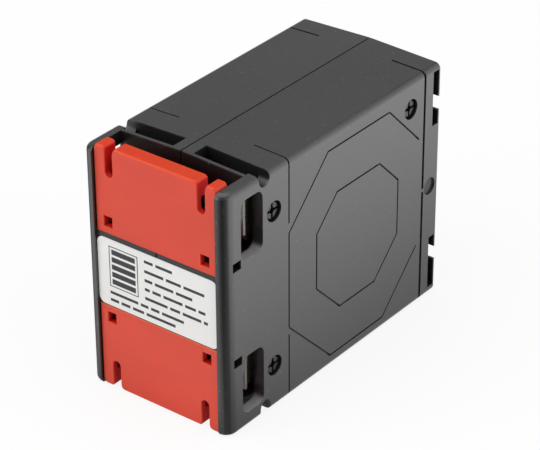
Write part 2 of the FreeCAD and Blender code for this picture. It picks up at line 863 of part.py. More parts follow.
def ease_cover_edges(body, end):
    """Bevels the front of the cover's outer edge and rounds the corners along it."""
    front = -size("case_depth") / 2 + size("front_recess")
    half = size("case_height") / 2
    edge_height = half + size("cover_rise") + end * (half + size("cover_past"))

    def front_edge(box):
        on_front = near(box.YMin, front) and near(box.YMax, front)
        return on_front and near(box.ZMin, edge_height) and near(box.ZMax, edge_height)

    bevel_edges(body, "RimBevel", "cover_chamfer", front_edge)
    reach = size("cover_chamfer") + 1e-3

    def corner(box):
        on_edge = max(abs(box.ZMin - edge_height), abs(box.ZMax - edge_height)) < reach
        return on_edge and box.XLength < 1e-3 and box.YLength > 1e-3

    round_edges(body, "OuterCorners", "cover_corner", corner)


def rating_label():
    """The adhesive rating label on the front band."""
    body = new_body("Label")
    film = new_sketch(body, "Film", "XZ_Plane", COVER_FRONT)
    half = f"({BAY}-label_side_gap)"
    low = f"{COVER_MID}-{BAND_EDGE}+label_low_gap"
    high = f"{COVER_MID}+{BAND_EDGE}-label_high_gap"
    add_polygon(film, rectangle(f"0-{half}", half, low, high))
    pad(film, "FilmPad", "label_thick", -1)
    thick = size("label_thick")
    round_edges(body, "FilmCorners", "label_radius", lambda box: near(box.YLength, thick))
    return body


# Terminals


def terminal_plate(side, end, name):
    """A brass plate on the chamber wall, with a tail that passes back to the lead room."""
    body = new_body(name)
    blade = new_sketch(body, "Blade", "XZ_Plane", CHAMBER_BACK)
    left = f"({side})*{TERMINAL_X}-plate_wide/2"
    right = f"({side})*{TERMINAL_X}+plate_wide/2"
    top = above(f"{TERMINAL_RISE}+plate_above", end)
    add_polygon(blade, rectangle(left, right, above(PLATE_FOOT, end), top))
    pad(blade, "BladePad", "plate_thick", -1)
    tail = new_sketch(body, "Tail", "XZ_Plane", CHAMBER_BACK)
    left = f"({side})*{TERMINAL_X}-tail_wide/2"
    right = f"({side})*{TERMINAL_X}+tail_wide/2"
    foot = above(PLATE_FOOT, end)
    add_polygon(tail, rectangle(left, right, foot, above(f"{PLATE_FOOT}+plate_thick", end)))
    pad(tail, "TailPad", "tail_long", 1)
    hole = new_sketch(body, "ScrewHole", "XZ_Plane", CHAMBER_BACK)
    height = above(TERMINAL_RISE, end)
    add_circle(hole, f"({side})*{TERMINAL_X}", height, "screw_radius+screw_clearance")
    pocket(hole, "ScrewHoleCut", "plate_thick+run_past", -1)
    return body


def clamp_plate(side, end, name):
    """A square clamp plate that stands off the terminal plate while no wire is held."""
    body = new_body(name)
    height = above(TERMINAL_RISE, end)
    centre = f"({side})*{TERMINAL_X}"
    square = new_sketch(body, "Square", "XZ_Plane", CLAMP_BACK)
    add_polygon(
        square,
        rectangle(
            f"{centre}-clamp_wide/2",
            f"{centre}+clamp_wide/2",
            f"{height}-clamp_tall/2",
            f"{height}+clamp_tall/2",
        ),
    )
    pad(square, "SquarePad", "clamp_thick", -1)
    hole = new_sketch(body, "ScrewHole", "XZ_Plane", CLAMP_BACK)
    add_circle(hole, centre, height, "screw_radius+screw_clearance")
    pocket(hole, "ScrewHoleCut", "clamp_thick+run_past", -1)
    return body


def terminal_screw(side, end, name):
    """A cheese-head screw with a combined slot and cross, its axis along Y."""
    seat = f"({CLAMP_BACK}-clamp_thick)"
    height = above(TERMINAL_RISE, end)
    centre = f"({side})*{TERMINAL_X}"
    parts = []
    shapes = (("Head", "head_radius", "head_tall", -1), ("Shank", "screw_radius", "screw_long", 1))
    for word, radius, length, toward in shapes:
        bar = doc.addObject("Part::Cylinder", f"{name}{word}")
        bar.Placement = Placement(Vector(), Rotation(Vector(1, 0, 0), -90 * toward))
        bind(
            bar,
            Radius=radius,
            Height=length,
            Placement__Base__x=centre,
            Placement__Base__y=seat,
            Placement__Base__z=height,
        )
        parts.append(bar)
    front = f"({seat}-head_tall)"
    half = "drive_wide/2"
    reach = "head_radius+run_past"
    ahead = f"{front}-run_past"
    floor = f"{front}+drive_deep"
    slot = block(
        f"{name}Slot",
        (f"{centre}-({reach})", ahead, f"{height}-{half}"),
        (f"{centre}+({reach})", floor, f"{height}+{half}"),
    )
    cross = block(
        f"{name}Cross",
        (f"{centre}-{half}", ahead, f"{height}-drive_half"),
        (f"{centre}+{half}", floor, f"{height}+drive_half"),
    )
    return cut(name, joined(f"{name}Blank", parts), joined(f"{name}Drive", [slot, cross]))


# Core and windings


def ring_section(inner, outer, half_wide):
    """Corners of a ring's section, across its radius and its width."""
    return rectangle(inner, outer, f"0-({half_wide})", half_wide)


def ring(name, inner, outer, wide):
    """A ring about the coil axis, revolved from its section."""
    body = new_body(name)
    section = new_sketch(body, "Section", "XZ_Plane", "0")
    add_polygon(section, ring_section(inner, outer, f"({wide})/2"))
    turn = body.newObject("PartDesign::Revolution", "Turn")
    turn.Profile = section
    turn.ReferenceAxis = (section, ["V_Axis"])
    turn.Angle = 360
    doc.recompute()
    return body


def lay_on_coil_axis(thing):
    """Turns a ring built about Z so that its axis is the coil axis, along X."""
    thing.Placement = Placement(Vector(), Rotation(Vector(0, 1, 0), 90))
    bind(thing, Placement__Base__y="coil_y", Placement__Base__z=COIL_Z)
    return thing


# Thickness of the layers that lie outside each piece of the coil.
OVER_TAPE = "(primary_thick+layer_gap)"
OVER_SECONDARY = f"({OVER_TAPE}+tape_thick+layer_gap)"
OVER_WRAP = f"({OVER_SECONDARY}+secondary_thick+layer_gap)"
OVER_CORE = f"({OVER_WRAP}+wrap_thick+layer_gap)"


def layer(depth):
    """Formulas of the inner radius, outer radius and width of the coil at a depth below its outside."""
    outer = f"(cavity_flats/2-coil_clearance-({depth}))"
    inner = f"(core_inner-({OVER_CORE})+({depth}))"
    wide = f"(case_width-2*side_wall-2*coil_end_gap-2*({depth}))"
    return (inner, outer, wide)


def ring_core():
    """The wound strip core."""
    body = ring("RingCore", *layer(OVER_CORE))
    round_edges(body, "CoreCorners", "core_corner", lambda box: box.ZLength < 1e-3)
    return lay_on_coil_axis(body)


def hollow_out(body, section):
    """Cuts the ring-shaped room that the pieces below a layer take up."""
    room = new_sketch(body, "Room", "XZ_Plane", "0")
    inner, outer, wide = section
    add_polygon(room, ring_section(inner, outer, f"({wide})/2"))
    groove = body.newObject("PartDesign::Groove", "RoomCut")
    groove.Profile = room
    groove.ReferenceAxis = (room, ["V_Axis"])
    groove.Angle = 360
    doc.recompute()


def wrap(name, depth, thick):
    """A layer of tape or paper all round the ring below it, its outside at the given depth."""
    body = ring(name, *layer(depth))
    hollow_out(body, layer(f"{depth}+{thick}"))
    return lay_on_coil_axis(body)


def secondary_winding():
    """The secondary layer, with fine creases between groups of turns on its rim."""
    outside = layer(OVER_SECONDARY)
    body = ring("SecondaryWinding", *outside)
    crease = new_sketch(body, "Crease", "XY_Plane", f"{outside[2]}/2")
    add_circle(crease, outside[1], "0", "crease_radius")
    first = pocket(crease, "CreaseCut", outside[2], -1)
    repeat_round(body, "Creases", first, (crease, ["N_Axis"]), "secondary_creases")
    hollow_out(body, layer(f"{OVER_SECONDARY}+secondary_thick"))
    return lay_on_coil_axis(body)


def primary_winding():
    """The heavy primary: flat-laid turns set round the ring, on a varnished base layer."""
    body = ring("PrimaryWinding", *layer("primary_thick-primary_base"))
    turns = new_sketch(body, "TurnSection", "XZ_Plane", "primary_turn_wide/2")
    inner, outer, wide = layer("0")
    add_polygon(turns, ring_section(inner, outer, f"{wide}/2"))
    first = pad(turns, "Turn1", "primary_turn_wide", -1)
    axis = (origin_plane(body, "Z_Axis"), [""])
    repeat_round(body, "Turns", first, axis, "primary_turns")
    hollow_out(body, layer("primary_thick"))
    return lay_on_coil_axis(body)


def repeat_round(body, name, feature, axis, count):
    """Repeats a feature evenly round an axis."""
    pattern = body.newObject("PartDesign::PolarPattern", name)
    pattern.Originals = [feature]
    pattern.Axis = axis
    pattern.Angle = 360
    bind(pattern, Occurrences=count)
    body.Tip = pattern
    doc.recompute()


# Leads


def lead(side, end, name, radius_name):
    """A lead from a terminal tail to the coil: two straight runs and one bend."""
    bend = size("lead_bend")
    radius = size(radius_name)
    middle = size("case_height") / 2
    foot = middle - size("terminal_end") - size("plate_below")
    terminal_x = (
        size("case_width") / 2 - size("cheek") - size("clamp_side_gap") - size("clamp_wide") / 2
    )
    tail_end = -size("case_depth") / 2 + size("chamber_back") + size("tail_long")
    start = Vector(side * terminal_x, tail_end - size("lead_inset"), middle + end * foot)
    level = middle - size("coil_drop") + end * size("lead_level")
    coil_radius = size("cavity_flats") / 2 - size("coil_clearance")
    rim = math.sqrt(coil_radius ** 2 - (size("lead_level") + radius) ** 2)
    stop = Vector(start.x, size("coil_y") - rim - size("lead_gap"), level)
    corner = Vector(start.x, start.y, level)
    arc_start = corner + Vector(0, 0, end * bend)
    arc_stop = corner + Vector(0, bend, 0)
    arc_middle = corner + Vector(0, bend * (1 - math.sqrt(0.5)), end * bend * (1 - math.sqrt(0.5)))
    path = Part.Wire(
        [
            Part.LineSegment(start, arc_start).toShape(),
            Part.Arc(arc_start, arc_middle, arc_stop).toShape(),
            Part.LineSegment(arc_stop, stop).toShape(),
        ]
    )
    end_circle = Part.Circle(start, Vector(0, 0, 1), radius).toShape()
    shape = path.makePipeShell([Part.Wire([end_circle])], True, True)
    expected = math.pi * radius ** 2 * path.Length
    if abs(shape.Volume - expected) > expected * 0.01:
        raise ValueError(f"{name}: the swept volume is wrong")
    feature = doc.addObject("Part::Feature", name)
    feature.Shape = shape
    feature.Placement = Placement()
    return feature


# The whole part


def build_pieces():
    """Every piece, under the name of its file."""
    shell = half_shell()
    pieces = {
        "case_right": case_right(shell),
        "case_left": case_left(shell),
        "upper_terminal_cover": terminal_cover(UPPER, "Upper"),
        "lower_terminal_cover": terminal_cover(LOWER, "Lower"),
        "rating_label": rating_label(),
        "ring_core": ring_core(),
        "core_wrap": wrap("CoreWrap", OVER_WRAP, "wrap_thick"),
        "secondary_winding": secondary_winding(),
        "winding_tape": wrap("WindingTape", OVER_TAPE, "tape_thick"),
        "primary_winding": primary_winding(),
    }
    terminals = {
        "p1": (RIGHT, UPPER, "primary_lead_radius"),
        "p2": (LEFT, UPPER, "primary_lead_radius"),
        "s1": (RIGHT, LOWER, "secondary_lead_radius"),
        "s2": (LEFT, LOWER, "secondary_lead_radius"),
    }
    for mark, (side, end, radius_name) in terminals.items():
        word = mark.upper()
        pieces[f"terminal_plate_{mark}"] = terminal_plate(side, end, f"TerminalPlate{word}")
        pieces[f"clamp_plate_{mark}"] = clamp_plate(side, end, f"ClampPlate{word}")
        pieces[f"terminal_screw_{mark}"] = terminal_screw(side, end, f"TerminalScrew{word}")
        pieces[f"lead_{mark}"] = lead(side, end, f"Lead{word}", radius_name)
    return pieces


def check_document():
    for thing in doc.Objects:
        if "Invalid" in thing.State or "Error" in thing.State:
            raise ValueError(f"{thing.Name} did not compute: {thing.State}")


def check_piece(name, piece):
    shape = piece.Shape
    if shape.isNull() or not shape.isValid():
        raise ValueError(f"{name} has no valid shape")
    if len(shape.Solids) != 1:
        raise ValueError(f"{name} has {len(shape.Solids)} solids")
    print(f"{name}: {shape.Volume:.1f} mm3")


def main():
    pieces = build_pieces()
    for name, piece in pieces.items():
        piece.Label = name
    doc.recompute()
    check_document()
    os.makedirs("parts", exist_ok=True)
    for name, piece in pieces.items():
        check_piece(name, piece)
        piece.Shape.exportStep(f"parts/{name}.step")


main()
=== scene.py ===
"""Looks of a small current transformer: finishes for its moulded case, covers, label, terminals and
windings, the marks printed on its label, and the studio it stands in. Lengths are in metres."""

import math

import bpy
from mathutils import Matrix, Vector


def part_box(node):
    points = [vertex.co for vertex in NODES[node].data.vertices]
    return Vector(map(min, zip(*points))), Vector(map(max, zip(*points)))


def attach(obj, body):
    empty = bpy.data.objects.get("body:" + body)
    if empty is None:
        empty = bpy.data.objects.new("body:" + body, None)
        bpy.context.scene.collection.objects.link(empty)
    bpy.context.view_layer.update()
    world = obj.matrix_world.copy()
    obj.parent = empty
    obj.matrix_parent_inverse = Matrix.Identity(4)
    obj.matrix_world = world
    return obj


bl_info = {
    "name": "Current transformer looks",
    "version": (1, 0, 0),
    "blender": (4, 5, 0),
    "location": "3D Viewport > Sidebar > Transformer",
    "description": "Finishes, label marks and studio for a small current transformer",
    "category": "Object",
}

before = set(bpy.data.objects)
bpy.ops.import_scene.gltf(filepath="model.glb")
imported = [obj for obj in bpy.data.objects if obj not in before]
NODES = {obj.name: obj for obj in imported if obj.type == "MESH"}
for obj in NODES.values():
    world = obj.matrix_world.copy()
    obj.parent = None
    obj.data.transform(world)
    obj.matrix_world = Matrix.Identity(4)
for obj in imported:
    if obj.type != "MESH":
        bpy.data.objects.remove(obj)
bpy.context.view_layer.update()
MM = 0.001
TERMINALS = ("p1", "p2", "s1", "s2")
CASE_HALVES = ("case_right", "case_left")
COVERS = ("upper_terminal_cover", "lower_terminal_cover")

# How steeply the roof of the case falls from its seam to its sides.
ROOF_FALL = 0.7 / 20
# The side windows lie as far above the middle height of the case as below it. Their middle and
# half size are given along the depth and the height.
CASE_MIDDLE = 31.0 * MM
WINDOW_MIDDLE = (-30.7 * MM, 19.65 * MM)
WINDOW_HALF = (4.0 * MM, 7.6 * MM)
# Distances from the seam between which the wall of a window turns from inner wall, under painted
# shade, to a ledge under painted light.
SILL_LIGHT_REACH = (17.0 * MM, 17.8 * MM)
# Depths below the skin of the case between which painted shade darkens its grooves and its pockets.
GROOVE_DEPTHS = (0.33 * MM, 0.5 * MM)
POCKET_DEPTHS = (0.9 * MM, 3.5 * MM)
# The same for the painted shade in the recesses and slots of the covers.
RECESS_DEPTHS = (0.1 * MM, 0.7 * MM)
# Added to the depth of a cover's box, so that its rear edges are never the nearest ones.
WELL_BEHIND = 1.0
# Radius of the rim that the turns of the windings are spaced along.
WINDING_RIM = 22 * MM
TAPE_LAPS = 36
CORE_STRIP = 0.3 * MM

# Tones that no setting changes. The window ledge tone, the top light tone and the top edge tone are
# painted light, and the recess tone is painted shade. The top light tone lies on the faces of a
# cover that look up.
SPECK_TONE = (0.16, 0.16, 0.16)
SILL_LIGHT_TONE = (0.30, 0.30, 0.31)
SCUFF_TONE = (0.80, 0.24, 0.18)
TOP_LIGHT_TONE = (0.61, 0.037, 0.003)
RECESS_SHADE_TONE = (0.60, 0.006, 0.003)
CREST_HIGHLIGHT_TONE = (1.0, 0.20, 0.05)
WHITE = (1.0, 1.0, 1.0)


# Shader values and finishes


class Signal:
    """A shader value that Python's signs work on. Each sign adds a Math node to its board."""

    def __init__(self, board, socket):
        self.board = board
        self.socket = socket

    def maths(self, operation, *values):
        return self.board.node("ShaderNodeMath", {"operation": operation}, dict(enumerate(values)))

    def __add__(self, other):
        return self.maths("ADD", self, other)

    __radd__ = __add__

    def __sub__(self, other):
        return self.maths("SUBTRACT", self, other)

    def __rsub__(self, other):
        return self.maths("SUBTRACT", other, self)

    def __mul__(self, other):
        return self.maths("MULTIPLY", self, other)

    def __abs__(self):
        return self.maths("ABSOLUTE", self)

    def lower_of(self, other):
        return self.maths("MINIMUM", self, other)

    def upper_of(self, other):
        return self.maths("MAXIMUM", self, other)

    def sine(self):
        return self.maths("SINE", self)

    def root(self):
        return self.maths("SQRT", self)

    def fraction(self):
        return self.maths("FRACT", self)

    def angle_over(self, along):
        """The slope, as an angle, of a line that rises by this while it runs along."""
        return self.maths("ARCTAN2", self, along)

    def fade(self, start, end):
        """0 at start and 1 at end, smooth between them."""
        ends = {"Value": self, "From Min": start, "From Max": end, "To Min": 0.0, "To Max": 1.0}
        return self.board.node("ShaderNodeMapRange", {"interpolation_type": "SMOOTHSTEP"}, ends)


class Board:
    """A node tree that is built up from values and links."""

    def __init__(self, tree):
        self.nodes = tree.nodes
        self.links = tree.links
        self.nodes.clear()

    def node(self, kind, settings=None, inputs=None, output=0):
        """Adds one node: its settings first, then the values or links of its sockets."""
        made = self.nodes.new(kind)
        for name, value in (settings or {}).items():
            setattr(made, name, value)
        for name, value in (inputs or {}).items():
            self.feed(made.inputs[name], value)
        return Signal(self, made.outputs[output]) if made.outputs else made

    def feed(self, socket, value):
        """Links a signal to a socket, or sets the socket to a plain value."""
        if isinstance(value, Signal):
            self.links.new(value.socket, socket)
        else:
            socket.default_value = value

    def axes_of(self, place):
        """The three numbers of a vector signal."""
        parts = self.node("ShaderNodeSeparateXYZ", inputs={0: place}).socket.node
        return [Signal(self, output) for output in parts.outputs]

    def ray(self, kind):
        """1 for rays of this kind, and 0 for others."""
        return self.node("ShaderNodeLightPath", output=f"Is {kind} Ray")


class Finish(Board):
    """A material's nodes, read in the piece's own coordinates."""

    def __init__(self, name):
        self.material = bpy.data.materials.new(name)
        self.material.use_nodes = True
        super().__init__(self.material.node_tree)
        self.place = self.node("ShaderNodeTexCoord", output="Object")
        self.across, self.deep, self.up = self.axes_of(self.place)

    def facing_up(self):
        """1 on faces that look straight up, 0 on upright ones, -1 on those that look down."""
        return self.axes_of(self.node("ShaderNodeTexCoord", output="Normal"))[2]

    def grain(self, scale, detail, stretch=None, distortion=0.0):
        """Noise around 0.5 at so many features a metre, drawn out along an axis if asked."""
        place = self.place
        if stretch:
            place = self.node("ShaderNodeMapping", inputs={"Vector": place, "Scale": stretch})
        ways = {"Vector": place, "Scale": scale, "Detail": detail, "Distortion": distortion}
        return self.node("ShaderNodeTexNoise", inputs=ways)

    def blend(self, factor, first, second):
        """One colour into another. The node's colours are its sockets 6 and 7 and its output 2."""
        settings = {"data_type": "RGBA", "clamp_factor": True}
        inputs = {0: factor, 6: first, 7: second}
        return self.node("ShaderNodeMix", settings, inputs, output=2)

    def relief(self, height, depth, strength, under=None):
        """A bump normal from a height signal, on top of another normal if given."""
        inputs = {"Height": height, "Distance": depth, "Strength": strength}
        if under:
            inputs["Normal"] = under
        return self.node("ShaderNodeBump", inputs=inputs)

    def eased(self, radius):
        """A normal that rounds sharp edges a little, as a mould leaves them."""
        return self.node("ShaderNodeBevel", {"samples": 4}, {"Radius": radius})

    def gaps_to(self, box):
        """How far a place lies inside a box from its nearer side, along each axis."""
        gaps = []
        for axis, low, high in zip((self.across, self.deep, self.up), *box):
            gaps.append((high - low) / 2 - abs(axis - (high + low) / 2))
        return gaps

    def in_windows(self):
        """1 within the outlines of the side windows, at any distance across, and 0 elsewhere."""
        along = WINDOW_HALF[0] - abs(self.deep - WINDOW_MIDDLE[0])
        rise = WINDOW_HALF[1] - abs(abs(self.up - CASE_MIDDLE) - WINDOW_MIDDLE[1])
        return along.lower_of(rise).fade(0.0, 0.1 * MM)

    def from_ring_axis(self):
        """How far a place lies behind and above the axis of the ring core."""
        low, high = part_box("ring_core")
        return self.deep - (low[1] + high[1]) / 2, self.up - (low[2] + high[2]) / 2

    def edge_nearness(self, box, reach):
        """1 along the edges of a box and 0 at the reach from them. The two smaller gaps count."""
        first, second, third = self.gaps_to(box)
        return (first + second + third - first.upper_of(second).upper_of(third)).fade(reach, 0.0)

    def sunk(self, box, start, end):
        """0 as far below the nearest side of a box as start, and 1 from end on."""
        first, second, third = self.gaps_to(box)
        return first.lower_of(second).lower_of(third).fade(start, end)

    def surface(self, **sockets):
        """The one surface shader, its socket names written with underscores."""
        named = {name.replace("_", " "): value for name, value in sockets.items()}
        return self.show(self.node("ShaderNodeBsdfPrincipled", inputs=named))

    def show(self, shader):
        """Makes a shader the material's surface."""
        self.node("ShaderNodeOutputMaterial", inputs={"Surface": shader})
        return self.material


def rgba(colour, level=1.0):
    """A colour with its alpha, made lighter or darker by a level."""
    return (colour[0] * level, colour[1] * level, colour[2] * level, 1.0)


def box_of(*names):
    """The low and high corner of some CAD nodes together."""
    lows, highs = zip(*(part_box(name) for name in names))
    return [min(parts) for parts in zip(*lows)], [max(parts) for parts in zip(*highs)]


def cover_with(material, *names):
    """Puts a material in the slots of CAD nodes in place of the plain one."""
    for name in names:
        mesh = NODES[name].data
        mesh.materials.clear()
        mesh.materials.append(material)


def case_finish(settings):
    """Black moulded plastic: fine spark-eroded grain, faint flow clouds, pale specks, edges smooth
    and lighter from wear and a painted sheen, painted shade in grooves and pockets, and painted
    light on the upward faces of the side windows."""
    paint = Finish("case_plastic")
    case_box = box_of(*CASE_HALVES)
    black = settings.case_colour
    # Wear and painted sheen: the edges of the case are patchily lighter and smoother, partly as
    # wear and partly as a painted highlight.
    edge_wear_and_sheen = paint.edge_nearness(case_box, 0.9 * MM) * paint.grain(700, 3).fade(0.35, 0.65)
    # Painted light: the outer part of each side window, where painted shade is left off and the
    # upward faces are painted paler.
    sill_light_zone = paint.in_windows() * abs(paint.across).fade(*SILL_LIGHT_REACH)
    # From here on heights are taken as if the roof were level, so that depths below it come right.
    paint.up = paint.up + abs(paint.across) * ROOF_FALL
    # Painted shade: grooves and pockets are darkened by how deep they lie below the skin of the
    # case.
    groove_shade = paint.sunk(case_box, *GROOVE_DEPTHS) * 0.65
    hollow_shade = (groove_shade + paint.sunk(case_box, *POCKET_DEPTHS) * 0.35) * (1.0 - sill_light_zone)
    clouds = paint.grain(45, 4).fade(0.25, 0.75)
    specks = paint.grain(1500, 1).fade(0.71, 0.74)
    cloudy = paint.blend(clouds, rgba(black, 0.9), rgba(black, 1.12))
    worn_and_sheen = paint.blend(edge_wear_and_sheen * 0.5, cloudy, rgba(black, 2.2))
    specked = paint.blend(specks * 0.5, worn_and_sheen, rgba(SPECK_TONE))
    # The painted shade itself: a darker copy of the black in the grooves and pockets.
    shaded = paint.blend(hollow_shade * 0.8, specked, rgba(black, 0.2))
    # Painted light: the upward faces near the outer edge of each side window are painted paler, as
    # if lit.
    sill_light = sill_light_zone * paint.facing_up().fade(0.3, 0.9)
    colour = paint.blend(sill_light, shaded, rgba(SILL_LIGHT_TONE))
    pits = paint.grain(0.5 / settings.grain_size, 3)
    rough = 0.30 + pits * 0.1 + clouds * 0.05 - edge_wear_and_sheen * 0.1
    relief = paint.relief(pits, 0.02 * MM, settings.grain_depth, paint.eased(0.22 * MM))
    # The coat is left off in the grooves and pockets too, as part of the painted shade there.
    return paint.surface(
        Base_Color=colour, Roughness=rough, Normal=relief, Specular_IOR_Level=0.45,
        Coat_Weight=1.0 - hollow_shade, Coat_Roughness=0.30,
    )


def cover_finish(settings):
    """Red moulded plastic, a little translucent: smooth skin, faint flow lines, soft sheen, painted
    light on the faces that look up, painted shade in the recesses and slots, and a painted
    highlight along the top edges."""
    paint = Finish("cover_plastic")
    red = settings.cover_colour
    flow = paint.grain(30, 3, (1.0, 1.0, 4.0), 0.4).fade(0.3, 0.7)
    skin = paint.grain(2200, 2)
    scratches = paint.grain(500, 2, (5.0, 1.0, 0.4)).fade(0.68, 0.75)
    scuffs = scratches * paint.grain(60, 2).fade(0.5, 0.6)
    cloudy = paint.blend(flow, rgba(red, 0.96), rgba(red, 1.03))
    scuffed = paint.blend(scuffs * 0.06, cloudy, rgba(SCUFF_TONE))
    # Painted light: the faces of a cover that look up take a more saturated orange-red, the colour
    # the top light gives them.
    top_lit = paint.blend(paint.facing_up().fade(0.4, 0.9), scuffed, rgba(TOP_LIGHT_TONE))
    inside = crest_highlight = 0.0
    # Painted shade and painted highlight: for each cover, how deep a place lies in its recesses and
    # slots, and how near it lies to its top edges.
    for name in COVERS:
        low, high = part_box(name)
        deepened = (low, (high[0], low[1] + WELL_BEHIND, high[2]))
        inside = paint.sunk(deepened, *RECESS_DEPTHS) + inside
        top = (0.8 * MM - abs(paint.up - high[2])).fade(0.0, 0.5 * MM)
        crest_highlight = paint.edge_nearness(deepened, 0.5 * MM) * top + crest_highlight
    # Painted shade: the recesses and slots of the covers are painted a darker red.
    recess_shaded = paint.blend(inside * 0.95, top_lit, rgba(RECESS_SHADE_TONE))
    # Painted highlight: a lighter orange line along the top edges of each cover.
    colour = paint.blend(crest_highlight * 0.5, recess_shaded, rgba(CREST_HIGHLIGHT_TONE))
    rough = 0.42 + skin * 0.08 + flow * 0.04 + scuffs * 0.1
    relief = paint.relief(skin, 0.01 * MM, 0.35, paint.eased(0.2 * MM))
    return paint.surface(
        Base_Color=colour, Roughness=rough, Normal=relief, Specular_IOR_Level=0.32,
        Subsurface_Weight=0.5, Subsurface_Scale=1.6 * MM, Subsurface_Radius=(1.0, 0.06, 0.03),
    )


def film_finish(settings):
    """Satin white label film with a thin clear skin and a slight orange peel."""
    paint = Finish("label_film")
    peel = paint.grain(900, 2)
    tint = paint.grain(80, 3).fade(0.3, 0.7)
    white = settings.film_colour
    colour = paint.blend(tint, rgba(white, 0.98), rgba(white, 1.01))
    relief = paint.relief(peel, 0.008 * MM, 0.4)
    return paint.surface(
        Base_Color=colour, Roughness=0.38 + peel * 0.08, Normal=relief,
        Coat_Weight=0.15, Coat_Roughness=0.2,
    )


def ink_finish():
    """Dense printed black, slightly uneven like thermal transfer print."""
    paint = Finish("label_ink")
    ribbon = paint.grain(3000, 2, (1.0, 1.0, 6.0)).fade(0.3, 0.8)
    colour = paint.blend(ribbon, rgba((0.012, 0.012, 0.014)), rgba((0.05, 0.05, 0.055)))
    return paint.surface(Base_Color=colour, Roughness=0.5 - ribbon * 0.1)


def metal_finish(name, colour, dull, streaks, rough):
    """Rolled or plated metal: streaks of the rolling, dull patches and a fine grain."""
    paint = Finish(name)
    rolled = paint.grain(900, 3, streaks)
    patches = paint.grain(350, 4, None, 0.6).fade(0.4, 0.7)
    mixed = paint.blend(patches * 0.6, rgba(colour), rgba(dull))
    relief = paint.relief(rolled, 0.01 * MM, 0.5)
    wear = rough + rolled * 0.15 + patches * 0.12
    return paint.surface(Base_Color=mixed, Metallic=1.0, Roughness=wear, Normal=relief)


def wound_finish(name, colour, shade, pitch, relief_depth, varnish):
    """Turns laid round the ring: ribs a pitch apart that run across its rim, under varnish."""
    paint = Finish(name)
    behind, above = paint.from_ring_axis()
    turns = 2 * math.pi * WINDING_RIM / pitch
    wires = (above.angle_over(behind) * turns).sine().fade(-1.0, 0.4)
    stain = paint.grain(160, 3).fade(0.3, 0.7)
    # Painted shade: the dark shade colour lies in the grooves between the turns.
    mixed = paint.blend(wires, rgba(shade), rgba(colour))
    toned = paint.blend(stain * 0.3, mixed, rgba(colour, 0.6))
    relief = paint.relief(wires, relief_depth, 1.0)
    return paint.surface(
        Base_Color=toned, Roughness=0.3 + stain * 0.15, Normal=relief,
        Coat_Weight=varnish, Coat_Roughness=0.15,
    )


def strip_core_finish():
    """Edges of wound electrical strip: many fine concentric layers."""
    paint = Finish("strip_core")
    behind, above = paint.from_ring_axis()
    radius = (behind * behind + above * above).root()
    layers = (radius * (2 * math.pi / CORE_STRIP)).sine().fade(-1.0, 1.0)
    haze = paint.grain(260, 3).fade(0.3, 0.7)
    steel = paint.blend(layers, rgba((0.20, 0.20, 0.21)), rgba((0.46, 0.46, 0.48)))
    toned = paint.blend(haze * 0.3, steel, rgba((0.30, 0.26, 0.22)))
    rough = 0.38 + haze * 0.15
    relief = paint.relief(layers, 0.02 * MM, 0.6)
    return paint.surface(Base_Color=toned, Metallic=0.9, Roughness=rough, Normal=relief)


def wrapped_finish(name, colour, shade, rough):
    """Tape or paper wound round the ring, each lap half over the last one."""
    paint = Finish(name)
    behind, above = paint.from_ring_axis()
    laps = (above.angle_over(behind) * (TAPE_LAPS / (2 * math.pi))).fraction()
    step = laps.fade(0.0, 0.12)
    fibre = paint.grain(1800, 3)
    # Painted shade: the dark shade colour lies in a narrow band at the step where each lap starts.
    tone = paint.blend(step, rgba(shade), rgba(colour))
    aged = paint.blend(fibre.fade(0.4, 0.8) * 0.25, tone, rgba(colour, 0.75))
    relief = paint.relief(laps, 0.12 * MM, 0.6, paint.relief(fibre, 0.01 * MM, 0.4))
    return paint.surface(Base_Color=aged, Roughness=rough + fibre * 0.1, Normal=relief)


def sleeve_finish():
    """Woven insulating sleeve over the leads."""
    paint = Finish("lead_sleeve")
    warp = paint.grain(4200, 1)
    dark, pale = rgba((0.035, 0.035, 0.04)), rgba((0.10, 0.10, 0.11))
    colour = paint.blend(warp.fade(0.35, 0.65), dark, pale)
    relief = paint.relief(warp, 0.05 * MM, 0.7)
    return paint.surface(Base_Color=colour, Roughness=0.65 + warp * 0.1, Normal=relief)


# Modelling helpers


def start_clean():
    """Object mode with nothing selected, as an artist would begin a piece."""
    if bpy.context.object and bpy.context.object.mode != "OBJECT":
        bpy.ops.object.mode_set(mode="OBJECT")
    bpy.ops.object.select_all(action="DESELECT")


def take_name(name, material, body):
    """Finishes the active object as a named piece that rides on a body."""
    piece = bpy.context.object
    bpy.ops.object.transform_apply(location=True, rotation=True, scale=True)
    piece.name = name
    piece.data.name = name
    piece.data.materials.clear()
    piece.data.materials.append(material)
    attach(piece, body)


def join_all(pieces):
    """Joins pieces into the first one."""
    start_clean()
    for piece in pieces:
        piece.select_set(True)
    bpy.context.view_layer.objects.active = pieces[0]
    bpy.ops.object.join()


# The settings that a user would change


